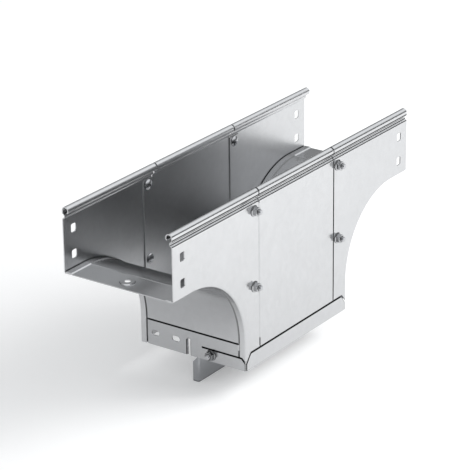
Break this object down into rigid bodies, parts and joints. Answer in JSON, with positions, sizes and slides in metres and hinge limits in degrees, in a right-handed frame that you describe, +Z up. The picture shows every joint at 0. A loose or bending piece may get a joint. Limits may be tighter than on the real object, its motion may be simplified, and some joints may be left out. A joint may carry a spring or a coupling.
{
  "type": "cable tray tee",
  "caption": "Cable tray tee of folded galvanised sheet: an open channel with rolled rims, whose floor sweeps down on both sides into a divided rectangular outlet.",
  "frame": {"origin": "midway between the floor holes of the tray's ends: mid-branch, mid-width, on the underside of the tray floor", "axes": "+X along the tray, +Y across it towards the rear wall, +Z up, with the outlet going down"},
  "size_m": [0.48, 0.1692, 0.2468],
  "materials": {
    "galvanised_sheet": "galvanised, satin",
    "zinc_bolts": "zinc plated",
    "zinc_nuts": "zinc plated, darker"
  },
  "bodies": {
    "root": {"front_near_wing": "galvanised_sheet", "front_near_bolts": "zinc_bolts", "front_near_nuts": "zinc_nuts", "front_far_wing": "galvanised_sheet", "front_far_bolts": "zinc_bolts", "front_far_nuts": "zinc_nuts", "front_centre_plate": "galvanised_sheet", "rear_near_wing": "galvanised_sheet", "rear_near_bolts": "zinc_bolts", "rear_near_nuts": "zinc_nuts", "rear_far_wing": "galvanised_sheet", "rear_far_bolts": "zinc_bolts", "rear_far_nuts": "zinc_nuts", "rear_centre_plate": "galvanised_sheet", "near_floor": "galvanised_sheet", "near_end_plate": "galvanised_sheet", "near_end_bolt": "zinc_bolts", "near_end_nut": "zinc_nuts", "far_floor": "galvanised_sheet", "far_end_plate": "galvanised_sheet", "far_end_bolt": "zinc_bolts", "far_end_nut": "zinc_nuts", "front_collar": "galvanised_sheet", "branch_divider": "galvanised_sheet"}
  },
  "joints": []
}
